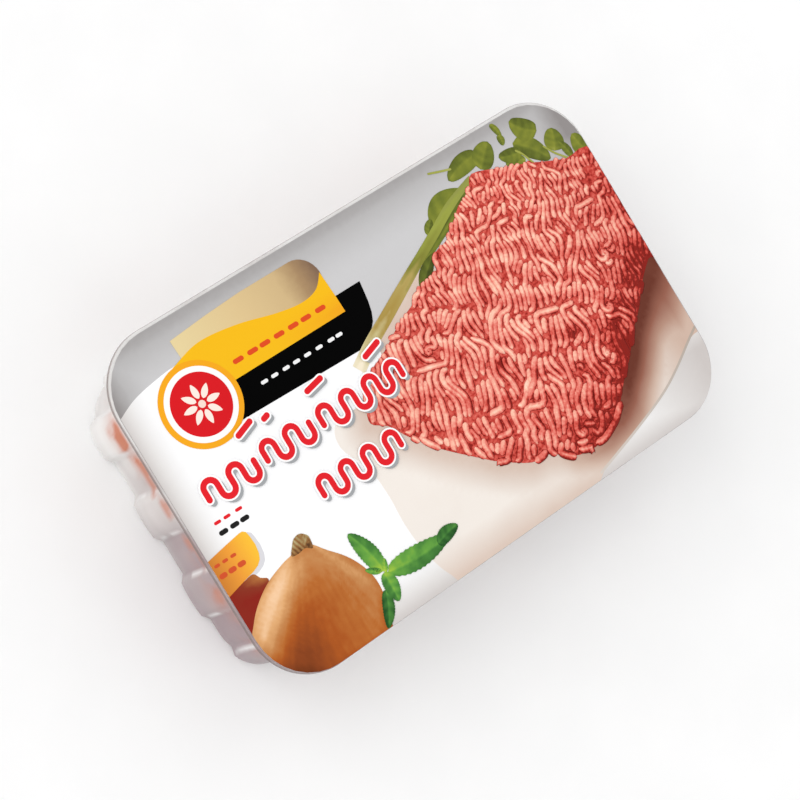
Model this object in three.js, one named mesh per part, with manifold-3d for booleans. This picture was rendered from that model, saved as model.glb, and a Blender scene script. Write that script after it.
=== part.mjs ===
// A sealed tray pack of minced meat: a translucent plastic tray with fluted walls, the mince that
// fills it, and a printed film welded over its rim.
// Millimetres, +Z up. The origin is on the ground under the middle of the tray, +X runs along its
// length, and the end with the fluting that shows in a view from the left is at -X.
import * as THREE from "three";
import Module from "manifold-3d";
import { mergeVertices } from "three/addons/utils/BufferGeometryUtils.js";

// Driving dimensions
const LENGTH = 190;
const WIDTH = 115;
const HEIGHT = 40;
const RIM_CORNER = 20;
const WALL_GAUGE = 0.8;
const FILM_GAUGE = 0.4;
const CLEARANCE = 0.3;
const WALL_SLACK = 0.2;

// The rim: a flat ring that carries the film, with a lip turned down round its outer edge
const RIM_WIDTH = 5.2;
const LIP_DROP = 1.6;
const RIM_BEVEL = 0.4;

// The wall: ribs stand nearly upright, and the recesses between them lean inwards to the base
const WALL_TOP_INSET = 5.7;
const RIB_BASE_INSET = 6.3;
const RECESS_BASE_INSET = 8.2;
const WALL_CORNER_CENTRE = 24;
const FLUTE_COUNT = 38;
const FLUTE_STEP = 2.4;
const RIB_CROWN = 0.5;
const CROWN_FADE = 1 / 3;
const RECESS_SWEEP = 0.6;
const FLUTE_TOP = 36;

// The base: a rounded foot, a flat ring that the tray stands on and a raised middle panel
const FOOT_RADIUS = 3;
const STAND_INSET = 16;
const PANEL_INSET = 19;
const PANEL_RISE = 1.3;

// The mince: a block shaped by the tray, with the strands that press against the wall fused on
const MINCE_TOP = 27.5;
const MINCE_SHOULDER = 2.5;
const MINCE_STATIONS = 76;
const DENT_DEPTH = 0.9;
const DENT_ALONG = 1.9;
const DENT_SWELL = 0.67;
const DENT_LEAN = 0.9;
const STRAND_RADIUS = 1.6;
const STRAND_SIDES = 5;
const STRAND_STEPS = 4;
const STRAND_LENGTH = 13;
const STRAND_COUNT = 38;
const STRAND_SWING_MIN = 1;
const STRAND_SWING_MAX = 2.6;
const STRAND_JITTER = 1.5;
const STRAND_BEND = 1.7;

// The film bulges a little over the tray, as gas-filled packs do, and it was laid on slightly off
// centre, so that more of the rim shows along one long side
const FILM_MARGIN = 0.5;
const FILM_SHIFT = -0.4;
const FILM_SEAT = 3.5;
const FILM_RISE = 2.2;
const FILM_SHOULDER = 26;
const FILM_MIN_CORNER = 6;
const CORNER_STEPS = 9;
const SIDE_STEP = 16;

// Sizes that follow
const HALF_LENGTH = LENGTH / 2;
const HALF_WIDTH = WIDTH / 2;
const WALL_REFERENCE = WALL_TOP_INSET + 1;
const REFERENCE_RADIUS = WALL_CORNER_CENTRE - WALL_REFERENCE;
const HALF_END = HALF_WIDTH - WALL_CORNER_CENTRE;
const HALF_SIDE = HALF_LENGTH - WALL_CORNER_CENTRE;
const REFERENCE_ARC = (Math.PI / 2) * REFERENCE_RADIUS;
const PERIMETER = 4 * (HALF_END + HALF_SIDE + REFERENCE_ARC);
const FLUTE_PITCH = PERIMETER / FLUTE_COUNT;

const clamp01 = (v) => Math.min(1, Math.max(0, v));
const smooth = (v) => clamp01(v) ** 2 * (3 - 2 * clamp01(v));
const mix = (a, b, t) => a + (b - a) * t;

// A repeatable source of numbers from 0 to 1
function seeded(seed) {
  let state = seed;
  return () => {
    state = (state * 1664525 + 1013904223) % 4294967296;
    return state / 4294967296;
  };
}

// The outline is walked counter-clockwise from the middle of the left end, as nine stretches
const STRETCHES = [
  { length: HALF_END, sideX: -1, sideY: 0, from: 0, to: -1 },
  { length: REFERENCE_ARC, cornerX: -1, cornerY: -1, start: Math.PI },
  { length: 2 * HALF_SIDE, sideX: 0, sideY: -1, from: -1, to: 1 },
  { length: REFERENCE_ARC, cornerX: 1, cornerY: -1, start: 1.5 * Math.PI },
  { length: 2 * HALF_END, sideX: 1, sideY: 0, from: -1, to: 1 },
  { length: REFERENCE_ARC, cornerX: 1, cornerY: 1, start: 0 },
  { length: 2 * HALF_SIDE, sideX: 0, sideY: 1, from: 1, to: -1 },
  { length: REFERENCE_ARC, cornerX: -1, cornerY: 1, start: Math.PI / 2 },
  { length: HALF_END, sideX: -1, sideY: 0, from: 1, to: 0 },
];

// The stretch, and the share of it, at a distance along the wall
function stationAt(distance) {
  let left = ((distance % PERIMETER) + PERIMETER) % PERIMETER;
  for (const stretch of STRETCHES) {
    if (left <= stretch.length) return { stretch, share: left / stretch.length };
    left -= stretch.length;
  }
  return { stretch: STRETCHES[STRETCHES.length - 1], share: 1 };
}

// A point of the rounded rectangle that lies inset from the rim's edge, its corners round a centre
// that lies in from both edges by cornerCentre
function outlinePoint({ stretch, share }, inset, cornerCentre) {
  const radius = cornerCentre - inset;
  const alongX = HALF_LENGTH - cornerCentre;
  const alongY = HALF_WIDTH - cornerCentre;
  if (stretch.start !== undefined) {
    const angle = stretch.start + (share * Math.PI) / 2;
    return new THREE.Vector2(
      stretch.cornerX * alongX + radius * Math.cos(angle),
      stretch.cornerY * alongY + radius * Math.sin(angle),
    );
  }
  const place = mix(stretch.from, stretch.to, share);
  return stretch.sideX
    ? new THREE.Vector2(stretch.sideX * (HALF_LENGTH - inset), place * alongY)
    : new THREE.Vector2(place * alongX, stretch.sideY * (HALF_WIDTH - inset));
}

// One closed surface through rings of equal count, with a flat fan over the first and the last
function loft(rings) {
  const count = rings[0].length;
  const positions = rings.flat().flatMap((p) => [p.x, p.y, p.z]);
  const faces = [];
  for (let r = 0; r + 1 < rings.length; r++) {
    for (let i = 0; i < count; i++) {
      const next = (i + 1) % count;
      const [a, b] = [r * count + i, r * count + next];
      const [c, d] = [a + count, b + count];
      faces.push(a, b, d, a, d, c);
    }
  }
  const firstHub = positions.length / 3;
  const lastHub = firstHub + 1;
  const lastRing = (rings.length - 1) * count;
  positions.push(0, 0, rings[0][0].z, 0, 0, rings[rings.length - 1][0].z);
  for (let i = 0; i < count; i++) {
    const next = (i + 1) % count;
    faces.push(firstHub, next, i, lastHub, lastRing + i, lastRing + next);
  }
  const geometry = new THREE.BufferGeometry();
  geometry.setAttribute("position", new THREE.Float32BufferAttribute(positions, 3));
  geometry.setIndex(faces);
  geometry.computeVertexNormals();
  return geometry;
}

// Stations of the fluted wall: each rib or recess has its two edges and its middle
function fluteStations() {
  const stations = [];
  for (let flute = 0; flute < FLUTE_COUNT; flute++) {
    const recess = flute % 2 === 0;
    for (const place of [FLUTE_STEP / 2, FLUTE_PITCH / 2, FLUTE_PITCH - FLUTE_STEP / 2]) {
      const middle = place === FLUTE_PITCH / 2;
      stations.push({ ...stationAt(flute * FLUTE_PITCH + place), recess, middle });
    }
  }
  return stations;
}

// How far in from the rim's edge the wall's outer face stands at a height
function wallInset(z, recess, middle) {
  const down = clamp01((FLUTE_TOP - z) / FLUTE_TOP);
  if (recess) return mix(WALL_TOP_INSET, RECESS_BASE_INSET, down ** RECESS_SWEEP);
  const crown = middle ? RIB_CROWN * smooth(down / CROWN_FADE) : 0;
  return mix(WALL_TOP_INSET, RIB_BASE_INSET, down) - crown;
}

// One level ring of the tray. The rim's corners turn round their own centre, the wall's round another
function trayRing(stations, z, inset, cornerCentre) {
  return stations.map((station) => {
    const p = outlinePoint(station, inset(station), cornerCentre);
    return new THREE.Vector3(p.x, p.y, z);
  });
}

function trayGeometry() {
  const stations = fluteStations();
  const onRim = (z, inset) => trayRing(stations, z, () => inset, RIM_CORNER);
  const onBase = (z, inset) => trayRing(stations, z, () => inset, WALL_CORNER_CENTRE);
  const onWall = (z, extra) =>
    trayRing(stations, z, (s) => wallInset(z, s.recess, s.middle) + extra, WALL_CORNER_CENTRE);
  const rimUnder = HEIGHT - WALL_GAUGE;
  const wallLevels = [FOOT_RADIUS, HEIGHT * 0.28, HEIGHT * 0.56, HEIGHT * 0.78, FLUTE_TOP];
  const footBevel = FOOT_RADIUS * (1 - Math.SQRT1_2);
  const outside = [
    onBase(PANEL_RISE, PANEL_INSET),
    onBase(0, STAND_INSET),
    onWall(0, FOOT_RADIUS),
    onWall(footBevel, footBevel),
    ...wallLevels.map((z) => onWall(z, 0)),
    trayRing(stations, rimUnder, () => WALL_TOP_INSET, WALL_CORNER_CENTRE),
  ];
  const rim = [
    onRim(rimUnder, WALL_GAUGE),
    onRim(HEIGHT - LIP_DROP, WALL_GAUGE),
    onRim(HEIGHT - LIP_DROP, 0),
    onRim(HEIGHT - RIM_BEVEL, 0),
    onRim(HEIGHT, RIM_BEVEL),
  ];
  const inside = [
    trayRing(stations, HEIGHT, () => RIM_WIDTH, WALL_CORNER_CENTRE),
    trayRing(stations, HEIGHT - 1.2, () => WALL_TOP_INSET + WALL_GAUGE, WALL_CORNER_CENTRE),
    ...wallLevels.toReversed().map((z) => onWall(z + WALL_GAUGE / 2, WALL_GAUGE)),
    onWall(footBevel + WALL_GAUGE, footBevel + WALL_GAUGE),
    onWall(WALL_GAUGE, FOOT_RADIUS + WALL_GAUGE / 2),
    onBase(WALL_GAUGE, STAND_INSET),
    onBase(PANEL_RISE + WALL_GAUGE, PANEL_INSET),
  ];
  return loft([...outside, ...rim, ...inside]);
}

// How far in from the rim's edge the mince may reach at a height: just clear of the recesses
function minceInset(z) {
  return wallInset(z, true, false) + WALL_GAUGE + CLEARANCE + WALL_SLACK;
}

// The block: level rings that lean with the wall, its sides dented where strands lie side by side
function minceCoreGeometry() {
  const depth = STRAND_RADIUS;
  const floor = WALL_GAUGE + CLEARANCE;
  const bottom = [
    { z: PANEL_RISE + floor, inset: PANEL_INSET, dented: 0 },
    { z: floor, inset: STAND_INSET, dented: 0 },
    { z: floor, inset: minceInset(0) + FOOT_RADIUS + MINCE_SHOULDER, dented: 0 },
  ];
  const sides = [0.15, 0.35, 0.55, 0.75, 0.93].map((share) => {
    const z = share * MINCE_TOP;
    return { z, inset: minceInset(z) + depth, dented: 1 };
  });
  const top = { z: MINCE_TOP, inset: minceInset(MINCE_TOP) + depth + MINCE_SHOULDER, dented: 1 };
  const ring = ({ z, inset, dented }) =>
    Array.from({ length: MINCE_STATIONS }, (_, i) => {
      const along = (i / MINCE_STATIONS) * PERIMETER;
      const wave = Math.sin(along * DENT_ALONG + z) * Math.cos(along * DENT_SWELL - z * DENT_LEAN);
      const dent = (dented * DENT_DEPTH * (1 + wave)) / 2;
      const p = outlinePoint(stationAt(along), inset + dent, WALL_CORNER_CENTRE);
      return new THREE.Vector3(p.x, p.y, z);
    });
  return loft([...bottom, ...sides, top].map(ring));
}

// One strand of mince, laid along the side at a height and bent up and down on its way
function strandGeometry(distance, z, swing, phase) {
  const points = [0, 1, 2, 3, 4].map((k) => {
    const height = z + swing * Math.sin(phase + k * STRAND_BEND);
    const sunk = k % 4 === 0 ? STRAND_RADIUS : 0;
    const inset = minceInset(height) + STRAND_RADIUS + sunk;
    const along = distance + (k / 4 - 0.5) * STRAND_LENGTH;
    const p = outlinePoint(stationAt(along), inset, WALL_CORNER_CENTRE);
    return new THREE.Vector3(p.x, p.y, height);
  });
  const section = new THREE.Shape();
  for (let side = 0; side < STRAND_SIDES; side++) {
    const angle = (side / STRAND_SIDES) * 2 * Math.PI;
    section[side ? "lineTo" : "moveTo"](STRAND_RADIUS * Math.cos(angle), STRAND_RADIUS * Math.sin(angle));
  }
  section.closePath();
  return new THREE.ExtrudeGeometry(section, {
    steps: STRAND_STEPS,
    bevelEnabled: false,
    extrudePath: new THREE.CatmullRomCurve3(points),
  });
}

const wasm = await Module();
wasm.setup();

// A geometry as a solid that can be joined
function solidOf(geometry) {
  const bare = geometry.clone();
  bare.deleteAttribute("normal");
  bare.deleteAttribute("uv");
  const merged = mergeVertices(bare, 1e-3);
  return new wasm.Manifold(
    new wasm.Mesh({
      numProp: 3,
      vertProperties: merged.attributes.position.array,
      triVerts: new Uint32Array(merged.index.array),
    }),
  );
}

function geometryOf(solid) {
  const mesh = solid.getMesh();
  const geometry = new THREE.BufferGeometry();
  geometry.setAttribute("position", new THREE.BufferAttribute(mesh.vertProperties, 3));
  geometry.setIndex(new THREE.BufferAttribute(mesh.triVerts, 1));
  geometry.computeVertexNormals();
  return geometry;
}

// The strands are spread round the sides evenly, and up and down them by the golden ratio
function minceGeometry() {
  const random = seeded(7);
  const lowest = 2 * FOOT_RADIUS + STRAND_RADIUS;
  const highest = MINCE_TOP - STRAND_RADIUS;
  const golden = (Math.sqrt(5) - 1) / 2;
  const solids = [solidOf(minceCoreGeometry())];
  for (let i = 0; i < STRAND_COUNT; i++) {
    const swing = mix(STRAND_SWING_MIN, STRAND_SWING_MAX, random());
    const height = mix(lowest + swing, highest - swing, (i * golden) % 1);
    const jitter = STRAND_JITTER * (2 * random() - 1);
    const distance = ((i + 0.5) / STRAND_COUNT) * PERIMETER + jitter;
    solids.push(solidOf(strandGeometry(distance, height, swing, random() * 2 * Math.PI)));
  }
  return geometryOf(wasm.Manifold.union(solids));
}

// The film's height over its seat on the rim, from its edge inwards
function filmRise(inset) {
  return FILM_RISE * Math.sin((Math.PI / 2) * clamp01((inset - FILM_SEAT) / FILM_SHOULDER));
}

// Stations of a plain outline: many round the corners, few along the sides
function plainStations() {
  return STRETCHES.flatMap((stretch) => {
    const steps = stretch.start === undefined ? Math.ceil(stretch.length / SIDE_STEP) : CORNER_STEPS;
    return Array.from({ length: steps }, (_, i) => ({ stretch, share: i / steps }));
  });
}

function filmGeometry() {
  const stations = plainStations();
  const seat = HEIGHT + CLEARANCE;
  const shares = [1, 0.55, 0.3, 0.12, 0];
  const insets = shares.map((share) => FILM_SEAT + share * FILM_SHOULDER);
  const ring = (height, inset) =>
    stations.map((station) => {
      const p = outlinePoint(station, inset, Math.max(RIM_CORNER, inset + FILM_MIN_CORNER));
      return new THREE.Vector3(p.x, p.y + FILM_SHIFT, seat + height);
    });
  const under = insets.map((inset) => ring(filmRise(inset), inset));
  const over = insets.toReversed().map((inset) => ring(FILM_GAUGE + filmRise(inset), inset));
  return loft([...under, ring(0, FILM_MARGIN), ring(FILM_GAUGE, FILM_MARGIN), ...over]);
}

// A named piece of the pack
function piece(name, geometry, look) {
  const mesh = new THREE.Mesh(geometry, new THREE.MeshStandardMaterial(look));
  mesh.name = name;
  return mesh;
}

const pack = new THREE.Group();
pack.add(
  piece("tray", trayGeometry(), {
    color: "#dcd6d6",
    roughness: 0.4,
    metalness: 0,
    transparent: true,
    opacity: 0.6,
  }),
  piece("mince", minceGeometry(), { color: "#c9564c", roughness: 0.55, metalness: 0 }),
  piece("lid_film", filmGeometry(), { color: "#e9e9ea", roughness: 0.3, metalness: 0 }),
);

export default pack;
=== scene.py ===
# A sealed tray pack of minced meat: a milky fluted tray, the mince in it and a printed film.
# Pieces are shaped in millimetres and turned to metres as they are finished. The origin is on the
# ground under the middle of the tray, +X runs along the pack and +Y towards the print's top.
import math

import bmesh
import bpy
import numpy as np
from mathutils import Matrix, Vector


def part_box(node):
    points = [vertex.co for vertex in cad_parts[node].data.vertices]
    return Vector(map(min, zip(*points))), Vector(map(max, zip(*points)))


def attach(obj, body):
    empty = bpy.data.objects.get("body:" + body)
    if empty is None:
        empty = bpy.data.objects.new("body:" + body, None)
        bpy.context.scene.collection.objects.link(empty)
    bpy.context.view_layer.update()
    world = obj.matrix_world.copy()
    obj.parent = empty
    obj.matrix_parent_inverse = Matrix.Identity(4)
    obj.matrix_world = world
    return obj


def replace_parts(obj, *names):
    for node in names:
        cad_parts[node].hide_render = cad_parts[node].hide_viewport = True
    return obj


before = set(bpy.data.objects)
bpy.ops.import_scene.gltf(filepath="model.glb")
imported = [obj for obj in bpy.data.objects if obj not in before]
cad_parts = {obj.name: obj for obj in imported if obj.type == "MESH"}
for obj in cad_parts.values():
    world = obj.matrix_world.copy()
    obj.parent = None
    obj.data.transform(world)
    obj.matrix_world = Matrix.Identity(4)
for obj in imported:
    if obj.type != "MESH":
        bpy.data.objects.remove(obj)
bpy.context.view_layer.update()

# Sizes taken from the frame
MM = 0.001
tray_low, tray_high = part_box("tray")
film_low, film_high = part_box("lid_film")
mince_low, mince_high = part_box("mince")
HALF_X = (tray_high.x - tray_low.x) / 2 / MM
HALF_Y = (tray_high.y - tray_low.y) / 2 / MM
HEIGHT = tray_high.z / MM
FILM_SHIFT = (film_low.y + film_high.y) / 2 / MM
FILM_HALF_X = (film_high.x - film_low.x) / 2 / MM
FILM_HALF_Y = (film_high.y - film_low.y) / 2 / MM
FILM_TOP = film_high.z / MM
MINCE_BASE = mince_low.z / MM
MINCE_TOP = mince_high.z / MM

# The tray's form, which the solid in the frame has too
RIM_CORNER = 20
RIM_WIDTH = 5.2
WALL_CORNER_CENTRE = 24
WALL_TOP_INSET = 5.7
RIB_BASE_INSET = 6.3
RECESS_BASE_INSET = 8.2
RECESS_SWEEP = 0.6
RIB_CROWN = 0.5
FLUTE_COUNT = 38
FLUTE_TOP = 36
FLUTE_STEP = 2.0
STATIONS_PER_FLUTE = 12
WALL_GAUGE = 0.6
LIP_DROP = 1.6
FOOT_RADIUS = 3
STAND_INSET = 16
PANEL_INSET = 19
PANEL_RISE = 1.3

# The film and its print
FILM_GAUGE = 0.25
FILM_WELD = 3.5
FILM_SHOULDER = 26
FILM_CORNER = 19.5
PRINT_ROOM = 0.55
INK_STEP = 2
INK_DEPTH = 0.03
SEAT_EASE = 0.4

# The mince: strands as they leave the grinder's plate
STRAND_RADIUS = 1.6
STRAND_STEPS = 8
SIDE_STRANDS = 420
TOP_STRANDS = 760
MINCE_SLACK = 0.5


def linear(code):
    """An sRGB hex colour as the linear values that a shader socket takes."""
    channels = [int(code[i : i + 2], 16) / 255 for i in (1, 3, 5)]
    return [c / 12.92 if c <= 0.04045 else ((c + 0.055) / 1.055) ** 2.4 for c in channels] + [1.0]


def clamp01(value):
    return np.clip(value, 0.0, 1.0)


def smooth(value):
    t = clamp01(value)
    return t * t * (3 - 2 * t)


def mix(a, b, t):
    return a + (b - a) * t


def wander(x, y, pitch, shift):
    """A smooth uneven wave, from about -1 to 1, whose bumps lie about half a pitch apart."""
    a, b = 2 * math.pi * x / pitch, 2 * math.pi * y / pitch
    bumps = math.sin(a + 1.3 * math.sin(0.7 * b + shift)) + math.sin(0.62 * a - 0.9 * b + 2.1 * shift)
    return (bumps + math.sin(1.1 * b + 0.4 * a - shift)) / 2.2


# Outlines


def wall_stretches():
    """The wall's outline as stretches, walked anticlockwise from the middle of the left end."""
    end = HALF_Y - WALL_CORNER_CENTRE
    side = HALF_X - WALL_CORNER_CENTRE
    arc = (WALL_CORNER_CENTRE - WALL_TOP_INSET - 1) * math.pi / 2
    return [
        ("end", end, -1, 0, -1),
        ("corner", arc, -1, -1, math.pi),
        ("side", 2 * side, -1, -1, 1),
        ("corner", arc, 1, -1, 1.5 * math.pi),
        ("end", 2 * end, 1, -1, 1),
        ("corner", arc, 1, 1, 0),
        ("side", 2 * side, 1, 1, -1),
        ("corner", arc, -1, 1, math.pi / 2),
        ("end", end, -1, 1, 0),
    ]


STRETCHES = wall_stretches()
PERIMETER = sum(stretch[1] for stretch in STRETCHES)
FLUTE_PITCH = PERIMETER / FLUTE_COUNT


def outline_point(distance, inset, centre=WALL_CORNER_CENTRE):
    """A point at a distance along the wall, on the rounded outline that lies inset from the rim."""
    left = distance % PERIMETER
    for kind, length, first, second, third in STRETCHES:
        if left <= length:
            break
        left -= length
    share = min(1.0, left / length)
    along_x = HALF_X - centre
    along_y = HALF_Y - centre
    if kind == "corner":
        angle = third + share * math.pi / 2
        reach = centre - inset
        return first * along_x + reach * math.cos(angle), second * along_y + reach * math.sin(angle)
    place = mix(second, third, share)
    if kind == "end":
        return first * (HALF_X - inset), place * along_y
    return place * along_x, first * (HALF_Y - inset)


def curve_through(points, steps=8, closed=True):
    """A smooth curve through points, with steps points for each stretch."""
    count = len(points)
    made = []
    for i in range(count if closed else count - 1):
        places = [(i + k) % count if closed else min(count - 1, max(0, i + k)) for k in (-1, 0, 1, 2)]
        before, start, end, after = (Vector(points[place]) for place in places)
        for k in range(steps):
            t = k / steps
            swing = (before * 2 - start * 5 + end * 4 - after) * t * t
            close = (start * 3 - before - end * 3 + after) * t**3
            made.append(tuple((start * 2 + (end - before) * t + swing + close) / 2))
    if not closed:
        made.append(tuple(points[-1]))
    return made


def round_corner(cx, cy, radius, start, steps=8):
    """A quarter turn round a centre, anticlockwise from the start angle in quarters."""
    turns = [(start + k / steps) * math.pi / 2 for k in range(steps + 1)]
    return [(cx + radius * math.cos(a), cy + radius * math.sin(a)) for a in turns]


def rounded_box(left, low, right, high, radius):
    """A rectangle with round corners, anticlockwise."""
    centres = ((right - radius, high - radius), (left + radius, high - radius))
    centres += ((left + radius, low + radius), (right - radius, low + radius))
    return [p for start, (cx, cy) in enumerate(centres) for p in round_corner(cx, cy, radius, start)]


def disc(cx, cy, radius, steps=72):
    turns = [k / steps * 2 * math.pi for k in range(steps)]
    return [(cx + radius * math.cos(a), cy + radius * math.sin(a)) for a in turns]


def moved(points, dx, dy):
    return [(x + dx, y + dy) for x, y in points]


# The film's form


def film_height(x, y):
    """The top of the film at a place: flat where it is welded, then rising to a low bulge."""
    across = clamp01(1 - (FILM_HALF_X - abs(x) - FILM_WELD) / FILM_SHOULDER)
    along = clamp01(1 - (FILM_HALF_Y - abs(y - FILM_SHIFT) - FILM_WELD) / FILM_SHOULDER)
    share = clamp01(1 - np.hypot(across, along))
    share = share * share * (1 + SEAT_EASE) / (share + SEAT_EASE)
    return mix(HEIGHT + FILM_GAUGE, FILM_TOP - PRINT_ROOM, np.sin(share * math.pi / 2))


def film_outline(inset):
    radius = FILM_CORNER - inset
    low, high = FILM_SHIFT - FILM_HALF_Y + inset, FILM_SHIFT + FILM_HALF_Y - inset
    return rounded_box(inset - FILM_HALF_X, low, FILM_HALF_X - inset, high, radius)


# Building blocks


def add_node(tree, kind, inputs=None, stops=None, **settings):
    """Adds one shader node with its settings, the values or links of its inputs, and its ramp."""
    made = tree.nodes.new("ShaderNode" + kind)
    for name, value in settings.items():
        setattr(made, name, value)
    for name, value in (inputs or {}).items():
        if isinstance(value, bpy.types.NodeSocket):
            tree.links.new(value, made.inputs[name])
        else:
            made.inputs[name].default_value = value
    if stops:
        elements = made.color_ramp.elements
        while len(elements) < len(stops):
            elements.new(0.5)
        for element, (place, colour) in zip(elements, stops):
            element.position = place
            element.color = linear(colour)
    return made


def object_place(tree):
    """A spot's place on its piece, in metres."""
    return add_node(tree, "TexCoord").outputs["Object"]


def painted(tree, name):
    """The number painted on the piece under a name."""
    return add_node(tree, "Attribute", attribute_name=name).outputs["Fac"]


def noise(tree, place, scale, detail):
    return add_node(tree, "TexNoise", {"Vector": place, "Scale": scale, "Detail": detail}).outputs["Fac"]


def ranged(tree, value, start, end, low=0.0, high=1.0, **settings):
    """A value's run from start to end, stretched to run from low to high."""
    run = {"Value": value, "From Min": start, "From Max": end, "To Min": low, "To Max": high}
    return add_node(tree, "MapRange", run, **settings).outputs[0]


def calculated(tree, operation, first, second):
    """Two values added or multiplied, and kept between 0 and 1."""
    return add_node(tree, "Math", {0: first, 1: second}, operation=operation, use_clamp=True).outputs[0]


def shades(tree, value, stops):
    """The colour that a value picks from the stops."""
    return add_node(tree, "ValToRGB", {"Fac": value}, stops=stops).outputs["Color"]


def tinted(tree, base, colour, share):
    """A colour with a share of another one over it."""
    return add_node(tree, "Mix", {6: base, 7: linear(colour), 0: share}, data_type="RGBA").outputs[2]


def add_relief(tree, surface, height, strength, depth):
    """Unevenness too fine to be shaped, of a depth in metres."""
    relief = add_node(tree, "Bump", {"Height": height, "Strength": strength, "Distance": depth})
    tree.links.new(relief.outputs["Normal"], surface.inputs["Normal"])


def new_material(name, **sockets):
    """A material with one principled shader, the numbers of its sockets set from sockets."""
    made = bpy.data.materials.new(name)
    made.use_nodes = True
    surface = made.node_tree.nodes["Principled BSDF"]
    for socket, value in sockets.items():
        surface.inputs[socket.replace("_", " ")].default_value = value
    return made, made.node_tree, surface


def added(name, data):
    """A new object in the scene."""
    made = bpy.data.objects.new(name, data)
    bpy.context.scene.collection.objects.link(made)
    return made


def finish_piece(bm, name, material, crease=0.6):
    """Turns a shape in millimetres into a finished piece that rides on the pack."""
    for edge in bm.edges:
        edge.smooth = not (edge.is_manifold and edge.calc_face_angle() > crease)
    bmesh.ops.scale(bm, vec=(MM, MM, MM), verts=bm.verts)
    mesh = bpy.data.meshes.new(name)
    bm.to_mesh(mesh)
    bm.free()
    mesh.polygons.foreach_set("use_smooth", [True] * len(mesh.polygons))
    mesh.materials.append(material)
    piece = added(name, mesh)
    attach(piece, "root")
    return piece


def paint(bm, name, value_at):
    """Stores a number on every vertex, worked out from its place in millimetres."""
    layer = bm.verts.layers.float.new(name)
    for vertex in bm.verts:
        vertex[layer] = float(value_at(*vertex.co))


def grow_ring(bm, ring, points):
    """Extrudes a closed ring of vertices and moves the new ring to points, in the same order."""
    edges = [bm.edges.get(pair) for pair in zip(ring, ring[1:] + ring[:1])]
    made = bmesh.ops.extrude_edge_only(bm, edges=edges)["geom"]
    fresh = {v for v in made if isinstance(v, bmesh.types.BMVert)}
    grown = []
    for vertex, point in zip(ring, points):
        partner = next(e.other_vert(vertex) for e in vertex.link_edges if e.other_vert(vertex) in fresh)
        partner.co = point
        grown.append(partner)
    return grown


def loft(rings):
    """A closed body through rings of points, each end filled with a flat fan."""
    bm = bmesh.new()
    first = [bm.verts.new(p) for p in rings[0]]
    for pair in zip(first, first[1:] + first[:1]):
        bm.edges.new(pair)
    last = first
    for points in rings[1:]:
        last = grow_ring(bm, last, points)
    bmesh.ops.poke(bm, faces=[bm.faces.new(first), bm.faces.new(last)])
    bmesh.ops.recalc_face_normals(bm, faces=bm.faces)
    return bm


def cut_across(bm, spot, facing, **settings):
    """Cuts a shape along a plane and gives the parts of the cut."""
    parts = bm.verts[:] + bm.edges[:] + bm.faces[:]
    return bmesh.ops.bisect_plane(bm, geom=parts, plane_co=spot, plane_no=facing, **settings)["geom_cut"]


# The tray


def recess_share(distance):
    """0 on a rib and 1 in a recess, with a short smooth step between them."""
    flute, place = divmod(distance / FLUTE_PITCH, 1)
    into = 0.5 + min(place, 1 - place) * FLUTE_PITCH / FLUTE_STEP
    share = smooth(into)
    return share if int(flute) % 2 == 0 else 1 - share


def rib_crown(distance):
    """The round swell of a rib's middle, 0 at its edges and in the recesses."""
    flute, place = divmod(distance / FLUTE_PITCH, 1)
    return math.sin(math.pi * place) if int(flute) % 2 else 0.0


def wall_inset(z, distance):
    """How far in from the rim's edge the wall's outer face stands."""
    down = clamp01((FLUTE_TOP - z) / FLUTE_TOP)
    recess = mix(WALL_TOP_INSET, RECESS_BASE_INSET, down**RECESS_SWEEP)
    rib = mix(WALL_TOP_INSET, RIB_BASE_INSET, down) - rib_crown(distance) * RIB_CROWN * smooth(down * 3)
    return mix(rib, recess, recess_share(distance))


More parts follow.
